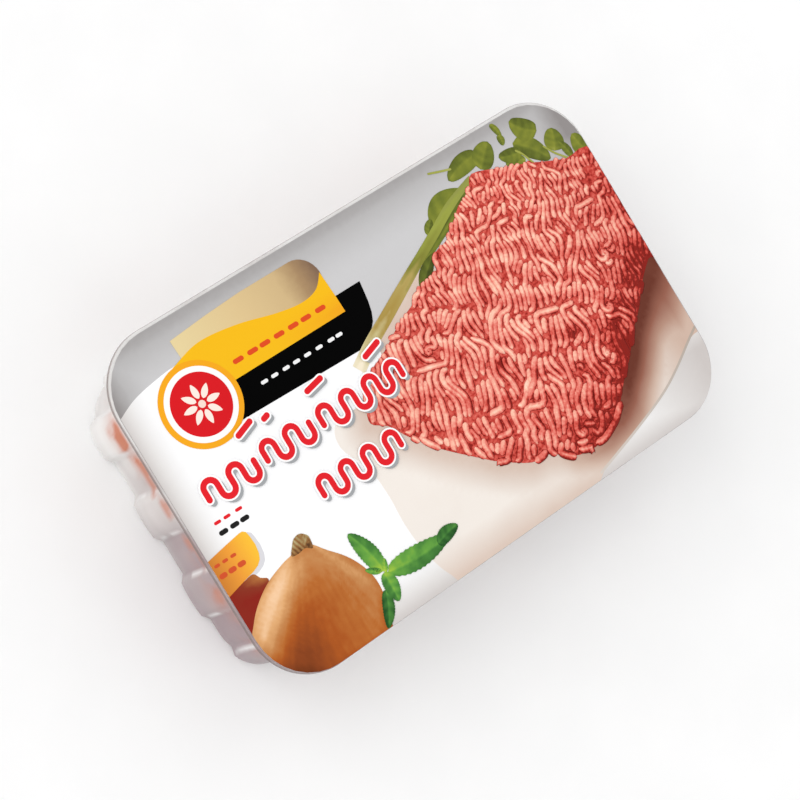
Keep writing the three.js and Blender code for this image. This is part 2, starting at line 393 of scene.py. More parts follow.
def tray_rings():
    """The shell's rings, from the middle of its underside, over the rim, to its floor's middle."""
    count = FLUTE_COUNT * STATIONS_PER_FLUTE
    stations = [i * PERIMETER / count for i in range(count)]

    def level(z, inset, centre=WALL_CORNER_CENTRE):
        return [(*outline_point(s, inset, centre), z) for s in stations]

    def wall(z, extra=0.0, lift=0.0):
        return [(*outline_point(s, wall_inset(z, s) + extra), z + lift) for s in stations]

    def foot(extra, lift):
        turns = [math.pi / 2 * k / 5 for k in range(6)]
        drops = [(FOOT_RADIUS * (1 - math.cos(a)), FOOT_RADIUS * (1 - math.sin(a))) for a in turns]
        return [wall(z, inward + extra, lift) for z, inward in drops]

    under = HEIGHT - WALL_GAUGE
    heights = [mix(FOOT_RADIUS, FLUTE_TOP, (k + 1) / 10) for k in range(10)]
    rings = [level(PANEL_RISE, PANEL_INSET + 3), level(PANEL_RISE, PANEL_INSET), level(0, STAND_INSET)]
    rings += foot(0, 0) + [wall(z) for z in heights]
    rings += [level(under - 1.2, WALL_TOP_INSET), level(under, WALL_TOP_INSET - 0.7)]
    rings += [level(under, WALL_GAUGE + 0.4, RIM_CORNER), level(under - 0.3, WALL_GAUGE, RIM_CORNER)]
    rings += [level(HEIGHT - LIP_DROP, inset, RIM_CORNER) for inset in (WALL_GAUGE, 0)]
    rings += [level(HEIGHT - 0.4, 0, RIM_CORNER), level(HEIGHT - 0.1, 0.12, RIM_CORNER)]
    rings += [level(HEIGHT, 0.4, RIM_CORNER), level(HEIGHT, RIM_WIDTH)]
    rings += [level(HEIGHT - 0.3, RIM_WIDTH + 0.5), level(HEIGHT - 1.5, WALL_TOP_INSET + WALL_GAUGE)]
    rings += [wall(z, WALL_GAUGE) for z in reversed(heights)]
    rings += foot(WALL_GAUGE, WALL_GAUGE)[::-1]
    rings += [level(WALL_GAUGE, STAND_INSET), level(PANEL_RISE + WALL_GAUGE, PANEL_INSET)]
    rings += [level(PANEL_RISE + WALL_GAUGE, PANEL_INSET + 3)]
    return rings


def milky_polypropylene():
    """Thermoformed polypropylene, moulded thin: milky, see-through, with a soft shine. The meat that
    lies against it shows as a blurred salmon tint, its milky white carries painted light and shade,
    the steps of the flutes carry painted highlights in places, and the lip carries the rim's painted
    shade."""
    made, tree, surface = new_material("thermoformed polypropylene", Roughness=0.3, IOR=1.49)
    place, meat = object_place(tree), painted(tree, "meat")
    patches = noise(tree, place, 75.0, 1.5)
    blotches = ranged(tree, patches, 0.46, 0.58, interpolation_type="SMOOTHSTEP")
    salmon = calculated(tree, "ADD", calculated(tree, "MULTIPLY", blotches, meat), painted(tree, "spots"))
    # The thin attribute holds painted light and shade on the wall, made cloudy by noise; it picks the
    # milky colour.
    milk_tone_and_light = calculated(tree, "ADD", ranged(tree, patches, 0.0, 1.0, -0.3, 0.3), painted(tree, "thin"))
    stops = [(0.0, "#b3a0a4"), (0.45, "#cbc2c2"), (0.75, "#e9e5e3"), (1.0, "#fbfaf8")]
    colour = tinted(tree, shades(tree, milk_tone_and_light, stops), "#dc8560", salmon)
    colour = tinted(tree, colour, "#82736f", painted(tree, "lip"))
    # Painted highlights on the flute steps, broken up by noise.
    glint_breakup = ranged(tree, noise(tree, place, 120.0, 1.0), 0.42, 0.56, 0.15)
    colour = tinted(tree, colour, "#fdfcfb", calculated(tree, "MULTIPLY", glint_breakup, painted(tree, "step")))
    tree.links.new(colour, surface.inputs["Base Color"])
    tree.links.new(ranged(tree, meat, 0.0, 1.0, 0.64, 0.4), surface.inputs["Alpha"])
    add_relief(tree, surface, noise(tree, place, 180.0, 2.0), 0.25, 0.0006)
    return made


def wall_distance(x, y):
    """How far along the wall's outline a place lies, by its nearest point there."""
    along_x, along_y = HALF_X - WALL_CORNER_CENTRE, HALF_Y - WALL_CORNER_CENTRE
    end, corner, side = HALF_Y - WALL_CORNER_CENTRE, STRETCHES[1][1], 2 * along_x
    quarter = corner / (math.pi / 2)
    if abs(y) <= along_y:
        middle = 2 * corner + side + 2 * end
        return (-y) % PERIMETER if x < 0 else middle + y
    if abs(x) <= along_x:
        return end + corner + x + along_x if y < 0 else end + 3 * corner + side + 2 * end + along_x - x
    angle = math.atan2(y - math.copysign(along_y, y), x - math.copysign(along_x, x)) % (2 * math.pi)
    if y < 0:
        passed = end if x < 0 else end + corner + side
        return passed + (angle - (math.pi if x < 0 else 1.5 * math.pi)) * quarter
    passed = 3 * end + 2 * corner + side if x > 0 else 3 * end + 3 * corner + 2 * side
    return passed + (angle - (0 if x > 0 else math.pi / 2)) * quarter


# Where the meat presses against the left end: y, z and radius
SPOTS = [(33, 21, 6.5), (22, 20, 6), (16.5, 19.5, 5), (8, 23, 4)]
SPOTS += [(-5, 22, 5), (-11, 24, 4), (-22, 23, 4.5), (-44.5, 25, 5)]


def meat_level(x, y, z):
    """Where the meat shows through the wall: in a band under its top, and less on the left end."""
    strength = mix(0.25, 0.9, clamp01((x + 84) / 6))
    return strength * smooth((z - 9) / 13) * smooth((31 - z) / 3)


def spot_level(x, y, z):
    """The ragged spots on the left end, stronger towards the print's top."""
    reach = max(1 - math.hypot(y - spot_y, z - spot_z) / radius for spot_y, spot_z, radius in SPOTS)
    ragged = reach + 0.3 * wander(y, z, 9, 0.5)
    return mix(0.45, 0.95, clamp01(0.5 + y / 50)) * smooth(1.7 * ragged) * clamp01((-80 - x) / 3)


def painted_step_glints(x, y, z):
    """Painted highlights on the steps between ribs and recesses."""
    share = recess_share(wall_distance(x, y))
    return (4 * share * (1 - share)) ** 3 * clamp01((z - 3) / 4) * clamp01((FLUTE_TOP - z) / 14)


def painted_wall_light(x, y, z):
    """Painted light and shade: whitest at the print's top left corner, darkest at its low left one."""
    # Ribs painted lighter and recesses darker, as painted light and shade.
    relief = 0.26 * (0.5 - recess_share(wall_distance(x, y))) * clamp01((z - 2.5) / 3)
    # Painted light that lifts the low side, which the lamps leave darker.
    low_side = 0.75 * clamp01((x + 82) / 25) * clamp01(-y / 40)
    return clamp01(smooth((y + 32) / 68) + low_side + relief)


def lip_shade(x, y, z):
    """The rim's outer lip, which lies in shade."""
    return 0.9 * smooth((z - HEIGHT + LIP_DROP + 0.5) / 0.4) * smooth((HEIGHT - 0.02 - z) / 0.2)


def make_tray():
    bm = loft(tray_rings())
    paint(bm, "meat", meat_level)
    paint(bm, "spots", spot_level)
    # The step attribute holds painted highlights on the flute steps.
    paint(bm, "step", painted_step_glints)
    # The thin attribute holds painted light and shade on the milky wall.
    paint(bm, "thin", painted_wall_light)
    paint(bm, "lip", lip_shade)
    tray = finish_piece(bm, "fluted_tray", milky_polypropylene(), crease=1.0)
    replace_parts(tray, "tray")


# The mince in the tray


def raw_mince():
    """Raw minced meat: coarse moist strands, pink-red with pale flecks of fat."""
    made, tree, surface = new_material("raw mince", Roughness=0.42, IOR=1.4)
    flecks = noise(tree, object_place(tree), 320.0, 4.0)
    stops = [(0.28, "#8c2a1e"), (0.42, "#c4543f"), (0.58, "#dd7a62"), (0.72, "#f0b9a2")]
    tree.links.new(shades(tree, flecks, stops), surface.inputs["Base Color"])
    add_relief(tree, surface, flecks, 0.5, 0.0008)
    return made


def mince_core():
    """The block that the strands lie on, shaped by the tray and uneven like they are."""
    count = FLUTE_COUNT * 6
    stations = [i * PERIMETER / count for i in range(count)]

    def ring(z, extra, dented=1.0):
        made = []
        for s in stations:
            dent = dented * 0.5 * (1 + math.sin(s * 1.9 + z) * math.cos(s * 0.67 - z * 0.9))
            inset = wall_inset(z, s) + WALL_GAUGE + MINCE_SLACK + STRAND_RADIUS * 0.7 + extra + dent
            made.append((*outline_point(s, inset), z))
        return made

    shares = [0.12, 0.22, 0.34, 0.46, 0.58, 0.7, 0.82, 0.92]
    rings = [[(*outline_point(s, PANEL_INSET + 2), PANEL_RISE + MINCE_BASE) for s in stations]]
    rings += [[(*outline_point(s, STAND_INSET), MINCE_BASE) for s in stations]]
    rings += [ring(MINCE_BASE, FOOT_RADIUS + 1, 0)]
    rings += [ring(share * MINCE_TOP, 0) for share in shares]
    rings += [ring(MINCE_TOP - STRAND_RADIUS, 3), ring(MINCE_TOP - STRAND_RADIUS * 1.4, 12)]
    return loft(rings)


def tube_template(steps, sides):
    """A straight closed tube of unit radius along X from 0 to 1, as its points and faces."""
    bm = bmesh.new()
    turn = Matrix.Rotation(math.pi / 2, 4, "Y")
    bmesh.ops.create_cone(bm, cap_ends=True, segments=sides, radius1=1, radius2=1, depth=1, matrix=turn)
    bmesh.ops.translate(bm, vec=(0.5, 0, 0), verts=bm.verts)
    for k in range(1, steps):
        cut_across(bm, (k / steps, 0, 0), (1, 0, 0))
    bmesh.ops.triangulate(bm, faces=bm.faces)
    bm.verts.index_update()
    points = np.array([v.co[:] for v in bm.verts])
    faces = np.array([[v.index for v in f.verts] for f in bm.faces])
    bm.free()
    return points, faces


def joined(points, faces):
    """One mesh in a bmesh from arrays of many copies' points, (copies, points, 3), and one's faces."""
    copies, each, _ = points.shape
    all_faces = faces[None] + (np.arange(copies) * each)[:, None, None]
    mesh = bpy.data.meshes.new("joined")
    mesh.from_pydata(points.reshape(-1, 3).tolist(), [], all_faces.reshape(-1, 3).tolist())
    bm = bmesh.new()
    bm.from_mesh(mesh)
    bpy.data.meshes.remove(mesh)
    return bm


def swept(template, paths, normals, radii):
    """Copies of the tube template bent along paths, (copies, steps + 1, 3), each with a normal."""
    steps = paths.shape[1] - 1
    along = np.gradient(paths, axis=1)
    along /= np.linalg.norm(along, axis=2, keepdims=True)
    across = np.cross(along, normals)
    across /= np.linalg.norm(across, axis=2, keepdims=True)
    upward = np.cross(across, along)
    station = np.rint(template[:, 0] * steps).astype(int)
    thick = radii[:, station, None]
    side = across[:, station] * template[None, :, 1:2]
    height = upward[:, station] * template[None, :, 2:3]
    return paths[:, station] + (side + height) * thick


def held_in(x, y, inset):
    """A place moved inward where it lies outside the tray's rounded outline at an inset."""
    reach = WALL_CORNER_CENTRE - inset
    out_x = max(0.0, abs(x) - HALF_X + WALL_CORNER_CENTRE)
    out_y = max(0.0, abs(y) - HALF_Y + WALL_CORNER_CENTRE)
    share = min(1.0, reach / max(reach, math.hypot(out_x, out_y)))
    return math.copysign(abs(x) - out_x * (1 - share), x), math.copysign(abs(y) - out_y * (1 - share), y)


def held_by_wall(z, distance):
    """How far in from the rim's edge the mince is held, near a place on the wall with its flutes."""
    nearby = max(wall_inset(z - STRAND_RADIUS, distance + reach) for reach in (-2.5, 0, 2.5))
    return nearby + WALL_GAUGE + MINCE_SLACK


def side_strand(draw, turn):
    """The places of a strand that lies against the wall, and the way out at each of them."""
    start = (turn + draw.random()) / SIDE_STRANDS * PERIMETER
    height = mix(4.0, MINCE_TOP - 3, draw.random())
    swing, phase, length = mix(0.8, 2.6, draw.random()), draw.random() * 6.3, mix(9, 17, draw.random())
    line, out = [], []
    for k in range(STRAND_STEPS + 1):
        z = min(MINCE_TOP - 1.8, max(3.6, height + swing * math.sin(phase + k * 0.8)))
        s = start + (k / STRAND_STEPS - 0.5) * length
        sunk = STRAND_RADIUS * (1.4 if k in (0, STRAND_STEPS) else 1.05)
        x, y = outline_point(s, held_by_wall(z, s) + sunk)
        inner = outline_point(s, WALL_CORNER_CENTRE - 1)
        line.append((x, y, z))
        out.append((x - inner[0], y - inner[1], 0.0))
    return line, out


def top_strand(draw):
    """The places of a loose curl on the block's top, and the way up at each of them."""
    x, y = held_in(HALF_X * draw.uniform(-0.86, 0.86), HALF_Y * draw.uniform(-0.78, 0.78), 13)
    heading, curl, phase = draw.random() * 6.3, mix(0.1, 0.5, draw.random()), draw.random() * 6.3
    line = []
    for k in range(STRAND_STEPS + 1):
        line.append((x, y, MINCE_TOP - STRAND_RADIUS * (1.9 if k in (0, STRAND_STEPS) else 1.05)))
        heading += curl * math.sin(phase + k * 0.7)
        x, y = held_in(x + STRAND_RADIUS * math.cos(heading), y + STRAND_RADIUS * math.sin(heading), 12)
    return line, [(0.0, 0.0, 1.0)] * len(line)


def mince_strands():
    """Strands that lie along the block's sides and in loose curls over its top."""
    draw = np.random.default_rng(11)
    points, faces = tube_template(STRAND_STEPS, 6)
    made = [side_strand(draw, turn) for turn in range(SIDE_STRANDS)]
    made += [top_strand(draw) for _ in range(TOP_STRANDS)]
    paths, normals = (np.array(part) for part in zip(*made))
    normals /= np.linalg.norm(normals, axis=2, keepdims=True)
    radii = np.full(paths.shape[:2], STRAND_RADIUS) * draw.uniform(0.8, 1.0, (len(paths), 1))
    radii[:, [0, -1]] *= 0.6
    return joined(swept(points, paths, normals, radii), faces)


def make_mince():
    material = raw_mince()
    for name, bm in (("mince_core", mince_core()), ("mince_strands", mince_strands())):
        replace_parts(finish_piece(bm, name, material, crease=3), "mince")


# Fields of ink on the film


def slice_along(bm, axis, step):
    """Cuts a flat shape into strips of a width along an axis, so that it can follow the film."""
    places = [v.co[axis] for v in bm.verts]
    for k in range(math.floor(min(places) / step) + 1, math.ceil(max(places) / step)):
        spot, facing = Vector(), Vector()
        spot[axis], facing[axis] = k * step, 1
        cut_across(bm, spot, facing)


def clip_to_film(bm, inset, fill=False):
    """Cuts away what lies outside the film's outline."""
    outline = [Vector((*p, 0)) for p in film_outline(inset)]
    for start, end in zip(outline, outline[1:] + outline[:1]):
        facing = Vector((end.y - start.y, start.x - end.x, 0))
        if facing.length < 1e-4 or all((v.co - start).dot(facing) <= 0 for v in bm.verts):
            continue
        cut = cut_across(bm, start, facing, clear_outer=True)
        if fill:
            bmesh.ops.holes_fill(bm, edges=[e for e in cut if isinstance(e, bmesh.types.BMEdge)])


def lay_on_film(bm, layer, depth=INK_DEPTH):
    """Gives a flat shape its thickness and lays it on the film, its top a layer's height over it."""
    clip_to_film(bm, 0.12)
    bmesh.ops.recalc_face_normals(bm, faces=bm.faces)
    made = bmesh.ops.extrude_face_region(bm, geom=bm.faces[:])["geom"]
    top = [v for v in made if isinstance(v, bmesh.types.BMVert)]
    for vertex in bm.verts:
        vertex.co.z = film_height(vertex.co.x, vertex.co.y) + layer - depth
    bmesh.ops.translate(bm, vec=(0, 0, depth), verts=top)
    bmesh.ops.recalc_face_normals(bm, faces=bm.faces)
    return bm


def inked(outline, layer, step=INK_STEP, depth=INK_DEPTH):
    """A thin field of ink with an outline, lying a layer's height over the film."""
    bm = bmesh.new()
    face = bm.faces.new([bm.verts.new((x, y, 0)) for x, y in outline])
    bmesh.ops.triangulate(bm, faces=[face])
    slice_along(bm, 0, step)
    slice_along(bm, 1, step)
    return lay_on_film(bm, layer, depth)


def strip(rows, layer, tone_at=lambda along, across: 1.0):
    """A field of ink made of rows of points, its tone set by the share along and across it."""
    bm = bmesh.new()
    last_row, last_place = len(rows) - 1, len(rows[0]) - 1
    bmesh.ops.create_grid(bm, x_segments=last_place, y_segments=last_row, size=1)
    tones = bm.verts.layers.float.new("tone")
    for index, vertex in enumerate(bm.verts):
        row, place = divmod(index, last_place + 1)
        vertex.co = (*rows[row][place], 0)
        vertex[tones] = float(tone_at(row / last_row, place / last_place))
    bmesh.ops.remove_doubles(bm, verts=bm.verts, dist=1e-3)
    return lay_on_film(bm, layer)


def stroke(spine, half_width, layer, tone_at=lambda along, across: 1.0):
    """A stroke of ink of even width along a spine, with round ends."""
    points = [Vector(p) for p in spine]
    rows = []

    def add_row(spot, along, half):
        across = Vector((-along.y, along.x)) * half
        rows.append([tuple(spot + across), tuple(spot), tuple(spot - across)])

    turns = [math.pi / 2 * k / 5 for k in range(5)]
    first = (points[1] - points[0]).normalized()
    last = (points[-1] - points[-2]).normalized()
    for turn in turns:
        add_row(points[0] - first * half_width * math.cos(turn), first, half_width * math.sin(turn))
    for i, spot in enumerate(points):
        along = (points[min(i + 1, len(points) - 1)] - points[max(i - 1, 0)]).normalized()
        add_row(spot, along, half_width)
    for turn in turns[::-1]:
        add_row(points[-1] + last * half_width * math.cos(turn), last, half_width * math.sin(turn))
    return strip(rows, layer, tone_at)


def together(parts):
    """Several shapes as one."""
    whole = parts[0]
    for part in parts[1:]:
        mesh = bpy.data.meshes.new("part")
        part.to_mesh(mesh)
        part.free()
        whole.from_mesh(mesh)
        bpy.data.meshes.remove(mesh)
    return whole


def add_film_sheen(tree, surface, place):
    """Stretched film: long shallow ripples, and a sheen that is uneven from handling."""
    add_relief(tree, surface, noise(tree, place, 45.0, 1.0), 0.2, 0.0008)
    sheen = ranged(tree, noise(tree, place, 90.0, 3.0), 0.0, 1.0, 0.36, 0.48)
    tree.links.new(sheen, surface.inputs["Roughness"])


def ink(name, stops, mottle=0.01, grain=400.0, shine=0.1):
    """Flexographic ink under a film: a soft even sheen. The tone painted on the piece picks its colour
    from the stops, and mottle makes it a little uneven."""
    made, tree, surface = new_material(name, Specular_IOR_Level=shine)
    place = object_place(tree)
    add_film_sheen(tree, surface, place)
    uneven = ranged(tree, noise(tree, place, grain, 3.0), 0.3, 0.7, -mottle, mottle)
    tone = calculated(tree, "ADD", painted(tree, "tone"), uneven)
    tree.links.new(shades(tree, tone, stops), surface.inputs["Base Color"])
    return made


def plain_ink(name, colour, shine=0.1):
    """Ink of one colour all over."""
    return ink(name, [(0.0, colour), (1.0, colour)], shine=shine)


def ink_piece(name, bm, material, tone=None):
    """Finishes a field of the print, with its tones painted on where a rule for them is given."""
    if tone:
        paint(bm, "tone", tone)
    return finish_piece(bm, name, material)


def backdrop_tone(x, y, z):
    """The grey of the upper print, darker to its upper edge and both its ends as painted shade."""
    top = clamp01((y - 40) / 15) ** 1.3
    left = 1.1 * clamp01((-80 - x) / 15)
    right = clamp01((x - 72) / 18) * clamp01((y - 25) / 15)
    return 1 - max(0.8 * top, left, right)


def white_tone(x, y, z):
    """White of the lower print, with painted shade to the left end, lower edge and past the plate."""
    left = clamp01((-80 - x) / 15)
    low = clamp01((-46 - y) / 11)
    past_plate = clamp01((x - 45) / 45) * clamp01((-25 - y) / 15)
    return 1 - max(0.95 * left**2, 0.9 * low, 0.95 * past_plate)


def make_film():
    bm = inked(film_outline(0), layer=0, depth=FILM_GAUGE)
    grey = [(0.0, "#938e8d"), (0.4, "#b8b6b6"), (1.0, "#cccbcc")]
    film = ink_piece("film_backdrop", bm, ink("grey ink on film", grey, 0.02), backdrop_tone)
    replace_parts(film, "lid_film")


def make_white_field():
    edge = [(-95, 37.5), (-88, 40.4), (-80, 42), (-70, 42.8), (-58, 41), (-40, 35), (-26, 27)]
    edge += [(-16, 20), (-10, 16), (0, 14)]
    outline = curve_through(edge, closed=False) + [(60, 10), (97, 0), (97, -60), (-97, -60), (-97, 37)]
    stops = [(0.0, "#c9c2bf"), (0.5, "#e6e3e1"), (1.0, "#fdfdfe")]
    ink_piece("white_field", inked(outline, layer=0.04), ink("white ink on film", stops), white_tone)


# The printed plate and the heap of mince on it

HEAP_EDGE = [(51, 46.4), (62, 43), (71, 40), (77, 37.6), (85, 34.8), (97, 31), (97, -6), (93, -8)]
HEAP_EDGE += [(85, -14), (80, -19), (72, -25), (66, -31), (60, -36), (55, -41), (50, -45)]
HEAP_EDGE += [(43, -48), (37, -48.5), (30, -47), (22, -42), (15, -41), (5, -35), (0, -31)]
HEAP_EDGE += [(-8, -24), (-12, -20), (-18, -13), (-22, -7), (-27, -3), (-25, 3), (-20, 10)]
HEAP_EDGE += [(-10, 14), (0, 19), (8, 22), (12, 25), (20, 26), (23, 31), (30, 33), (35, 36)]
HEAP_EDGE += [(40, 40), (46, 42)]


def edge_distance(points, x, y):
    """How far a place is from a closed outline, and less than zero inside it."""
    spot = np.array((x, y), dtype=float)
    start = np.array(points, dtype=float)
    end = np.roll(start, -1, axis=0)
    along = end - start
    share = clamp01(((spot - start) * along).sum(1) / (along**2).sum(1))
    nearest = np.hypot(*(spot - start - along * share[:, None]).T).min()
    straddles = (start[:, 1] > y) != (end[:, 1] > y)
    with np.errstate(divide="ignore", invalid="ignore"):
        crossing = start[:, 0] + (y - start[:, 1]) * along[:, 0] / along[:, 1]
    inside = (straddles & (x < crossing)).sum() % 2
    return -nearest if inside else nearest


def plate_tone(x, y, z):
    """The ivory plate, with the heap's brown shadow at its right and a pink glow at its left, darker
    to its right end, and with painted shade to its lower edge.
    """
    to_right = clamp01((x - 25) / 35)
    reach = mix(9, 15, to_right) + 10 * clamp01((x - 78) / 12) ** 2
    depth = mix(0.34, 1.0, to_right)
    shadow = depth * clamp01(1.12 - max(0.0, edge_distance(HEAP_EDGE, x, y)) / reach)
    dim = 0.42 * clamp01((x - 62) / 25)
    # Painted shade towards the lower edge, where the film curves down.
    low = 0.32 * clamp01((-46 - y) / 11)
    return 1 - clamp01(max(shadow, dim, low))


def make_plate():
    outline = [(-24, 4), (-36, 3), (-39, -4), (-34.5, -14), (-33.5, -24), (-33.8, -34), (-32, -45)]
    outline += [(-28, -55), (-20, -66), (20, -66), (38, -55), (55, -50.8), (70, -46.2), (80, -41.8)]
    outline += [(90, -36.4), (100, -31), (100, 5), (60, 12), (20, 27), (12, 27), (2, 23)]
    outline += [(-9, 18), (-12, 10)]
    stops = [(0.0, "#6b3527"), (0.2, "#96604f"), (0.4, "#b78f7d"), (0.6, "#d3b9a9"), (0.8, "#e3d4c9")]
    stops += [(1.0, "#f3ebe3")]
    plate = inked(curve_through(outline, 5), layer=0.07)
    ink_piece("printed_plate", plate, ink("ivory ink on film", stops, 0.02, 90.0), plate_tone)
    rim = [(36, -55.4), (55, -50.6), (70, -46), (80, -41.6), (90, -36.2), (98, -32)]
    line = stroke(curve_through(rim, closed=False), 0.4, 0.10, lambda along, across: along)
    ink_piece("plate_rim_line", line, ink("taupe ink on film", [(0.0, "#d9cfc6"), (1.0, "#a99b8e")]))


# The way the heap's strands hang, and its curls and hollows: x, y and radius
HANG = np.array((-0.5, -0.866))
HANG_ANGLE = math.atan2(HANG[1], HANG[0])
HEAP_SQUARE = 2.4
HEAP_STRIDE = 0.7
HEAP_STEPS = 18
HEAP_LIFT = 0.24
CURLS = [(37.5, -41.5, 8), (59, -25, 5.5), (69, -13, 6), (47.5, -24, 4.5), (78, 2, 6), (4, 6, 5)]
HOLLOWS = [(44.5, -38, 4), (52, -14, 3.5), (69, -18, 4.5), (8, -6, 3.5), (66, -27, 5), (24, -9, 3)]
HOLLOWS += [(86, -6, 6)]


def heap_gap(y):
    """The room from strand to strand, which shrinks towards the heap's far end."""
    return mix(2.15, 1.42, clamp01((y + 42) / 85))


def heap_tier(x, y):
    """How far a place is down the heap's tiers, a full turn for each."""
    down = x * HANG[0] + y * HANG[1]
    return 2 * math.pi * down / mix(10.0, 7.5, smooth((y - 14) / 18)) + 2.0 * wander(x, y, 44, 0.4)


def strand_run(x, y):
    """The way the strands run at a place: down, with a bend where a tier starts, round the curls and
    along the heap's low edge."""
    hook = float(np.clip(0.5 + 1.5 * wander(x, y, 40, 1), -1, 1))
    bend = 0.25 - 1.35 * hook * clamp01(math.cos(heap_tier(x, y))) ** 3
    far = smooth((y - 16) / 14)
    turn = HANG_ANGLE + bend + 0.55 * wander(x, y, 17, 2.0) + 0.5 * far * wander(x, y, 9, 0.7)
    run = np.array((math.cos(turn), math.sin(turn)))
    inside = edge_distance(HEAP_EDGE, x, y)
    if inside > -5:
        nudged = edge_distance(HEAP_EDGE, x + 0.1, y), edge_distance(HEAP_EDGE, x, y + 0.1)
        outward = np.array(nudged) - inside
        along_edge = np.array((-outward[1], outward[0])) * 10
        if along_edge @ run < 0:
            along_edge = -along_edge
        run = mix(run, along_edge, smooth(1 + inside / 4) * clamp01(-outward[1] * 20))
    for cx, cy, radius in CURLS:
        reach = max(0.1, math.hypot(x - cx, y - cy))
        if reach < radius:
            circling = np.array((cy - y + 0.7 * (cx - x), x - cx + 0.7 * (cy - y))) / (1.22 * reach)
            run = mix(run, circling, smooth(1.3 * (1 - reach / radius)))
    return run / max(1e-6, math.hypot(*run))


def is_clear(taken, spot, gap):
    """Whether a place lies at least a gap from the strands so far, which are kept by square."""
    column, row = (math.floor(c / HEAP_SQUARE) for c in spot)
    near = [taken.get((column + i, row + j), ()) for i in (-1, 0, 1) for j in (-1, 0, 1)]
    return all(math.dist(other, spot) >= gap for square in near for other in square)


def follow(taken, start, way, length, stays):
    """Places along the flow from a start, up to the next strand, the heap's edge or the length, or
    to the end of a tier where the strand stays in it."""
    line, spot = [], np.array(start)
    tier = math.floor(heap_tier(*start) / (2 * math.pi))
    for _ in range(round(length / HEAP_STRIDE)):
        spot = spot + strand_run(*spot) * way * HEAP_STRIDE
        if edge_distance(HEAP_EDGE, *spot) > -0.3 or not is_clear(taken, spot, 0.7 * heap_gap(spot[1])):
            break
        if stays and math.floor(heap_tier(*spot) / (2 * math.pi)) != tier:
            break
        line.append(tuple(spot))
    return line


def heap_lines():
    """Strands side by side all over the heap, each started a gap beside one that is already there."""
    draw = np.random.default_rng(5)
    taken, lines, starts = {}, [], [(30.0, 0.0)]
    while starts:
        start = starts.pop(0)
        outside = edge_distance(HEAP_EDGE, *start) > -0.6
        if outside or not is_clear(taken, start, 0.93 * heap_gap(start[1])):
            continue
        stays = draw.random() < 0.3
        up = follow(taken, start, -1, draw.uniform(6, 18), stays)
        line = up[::-1] + [start] + follow(taken, start, 1, draw.uniform(6, 18), stays)
        if len(line) < 5:
            continue
        lines.append(line)
        for spot in line:
            taken.setdefault(tuple(math.floor(c / HEAP_SQUARE) for c in spot), []).append(spot)
        for k in range(1, len(line) - 1, 2):
            x, y = line[k]
            dx, dy = line[k + 1][0] - line[k - 1][0], line[k + 1][1] - line[k - 1][1]
            reach = heap_gap(y) / math.hypot(dx, dy)
            starts += [(x - dy * reach * side, y + dx * reach * side) for side in (1, -1)]
    return lines


def evened(line):
    """A line's places spaced evenly, as many as the strand's steps need."""
    places = np.array(line)
    passed = np.concatenate([[0], np.cumsum(np.hypot(*np.diff(places, axis=0).T))])
    stops = np.linspace(0, passed[-1], HEAP_STEPS + 1)
    return np.column_stack([np.interp(stops, passed, places[:, axis]) for axis in (0, 1)])


def heap_light(x, y):
    """The heap's large shading: it turns away to its lower right and along its lower edge."""
    inside = -edge_distance(HEAP_EDGE, x, y)
    away = clamp01((x * 0.75 - y * 0.66 - 38) / 40)
    rim = clamp01(1 - inside / 13)
    deep = max(float(smooth(1 - math.hypot(x - cx, y - cy) / radius)) for cx, cy, radius in HOLLOWS)
    uneven = 0.08 * wander(x, y, 7, 1.3)
    return uneven + 0.04 * clamp01((y + 20) / 60) - away * (0.18 + 0.34 * rim) - 0.04 * rim - 0.34 * deep


def strand_light(x, y):
    """A strand's own light: brightest where a tier starts, deep red where it goes under the next."""
    return 0.13 * math.cos(heap_tier(x, y) - 1.1) + heap_light(x, y)


def strand_bodies(draw, template, lines):
    """The strands as flat-bellied tubes with round ends, which sink a little towards their low end."""
    copies, stations = lines.shape[:2]
    share = np.linspace(0, 1, stations)
    flat = np.dstack([lines, np.zeros((copies, stations))])
    up = np.zeros_like(flat)
    up[:, :, 2] = 1
    full = 0.62 * heap_gap(lines[:, :, 1]) * draw.uniform(0.92, 1.08, (copies, 1))
    lengths = np.hypot(*np.diff(lines, axis=1).T).sum(axis=0)
    to_end = lengths[:, None] * np.minimum(share, 1 - share)
    radii = full * np.sqrt(np.clip(1 - np.clip(1 - to_end / full, 0, 1) ** 2, 0.08, 1))
    body = swept(template, flat, up, radii)
    station = np.rint(template[:, 0] * (stations - 1)).astype(int)
    sunk = 0.05 * share[None, :] + draw.uniform(0, 0.03, (copies, 1))
    crown = np.clip(body[:, :, 2], 0, None) * 0.12
    body[:, :, 2] = film_height(body[:, :, 0], body[:, :, 1]) + HEAP_LIFT - sunk[:, station] + crown
    return body


def strand_tones(draw, template, lines):
    """The strands' tones, which hold the light from the upper left."""
    station = np.rint(template[:, 0] * HEAP_STEPS).astype(int)
    light = np.array([[strand_light(*place) for place in line] for line in lines])
    along = np.gradient(lines, axis=1)
    facing = -(along[:, :, 0] + along[:, :, 1]) / np.hypot(along[:, :, 0], along[:, :, 1])
    side = template[:, 1]
    ridge = np.exp(-(((side - 0.28 * facing[:, station]) / 0.42) ** 2))
    tones = 0.33 + 0.46 * ridge - 0.36 * np.abs(side) ** 3 + 0.06 * side * facing[:, station]
    return tones + light[:, station] + draw.normal(0, 0.05, (len(lines), 1))


